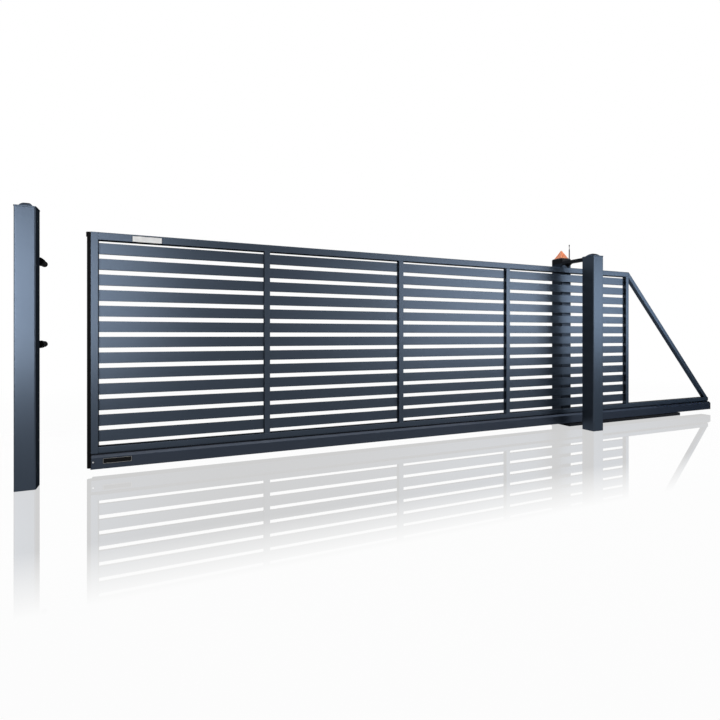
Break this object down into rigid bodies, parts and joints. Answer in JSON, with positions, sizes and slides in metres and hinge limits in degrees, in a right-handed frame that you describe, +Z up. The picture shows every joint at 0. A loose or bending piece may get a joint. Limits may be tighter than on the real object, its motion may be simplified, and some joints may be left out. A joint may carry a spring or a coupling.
{
  "type": "sliding driveway gate",
  "caption": "Self-supporting sliding driveway gate: slatted leaf with a braced tail on a C-section track, guide post, drive post with lamp, and receiving post with stop pegs.",
  "frame": {"origin": "centre of the front guide post's foot, at ground level", "axes": "+X along the gate from the receiving post to the tail, +Y from the road into the property, +Z up"},
  "size_m": [6.5785, 0.508, 1.783],
  "materials": {
    "slate_coat": "satin powder coat",
    "black_coat": "satin powder coat",
    "black_rubber": "matt",
    "black_plastic": "matt moulded",
    "amber_lens": "satin, cloudy",
    "zinc_steel": "zinc plated"
  },
  "bodies": {
    "posts": {"aerial": "black_plastic", "base_channel": "black_coat", "cross_arm": "black_coat", "drive_head": "black_plastic", "drive_post": "slate_coat", "front_guide_post": "slate_coat", "front_guide_post_cap": "slate_coat", "guide_roller": "black_plastic", "receiving_post": "slate_coat", "receiving_post_cap": "slate_coat", "roller_boss": "black_plastic", "stop_pegs": "black_rubber", "trolley_1": "zinc_steel", "trolley_1_wheels": "zinc_steel", "trolley_2": "zinc_steel", "trolley_2_wheels": "zinc_steel", "warning_lamp": "amber_lens"},
    "leaf": {"bottom_rail": "slate_coat", "front_stile": "slate_coat", "mullion_1": "slate_coat", "mullion_2": "slate_coat", "mullion_3": "slate_coat", "mullion_4": "slate_coat", "rear_stile": "slate_coat", "safety_edge": "black_rubber", "slats_bay_1": "slate_coat", "slats_bay_2": "slate_coat", "slats_bay_3": "slate_coat", "slats_bay_4": "slate_coat", "slats_bay_5": "slate_coat", "tail_brace": "slate_coat", "top_rail": "slate_coat", "track": "slate_coat", "track_front_cap": "black_plastic", "track_tail_cap": "black_plastic"}
  },
  "joints": [
    {"name": "leaf_slide", "type": "slide", "parent": "posts", "child": "leaf", "axis": [1, 0, 0], "range_m": [-0.206, 4]}
  ]
}
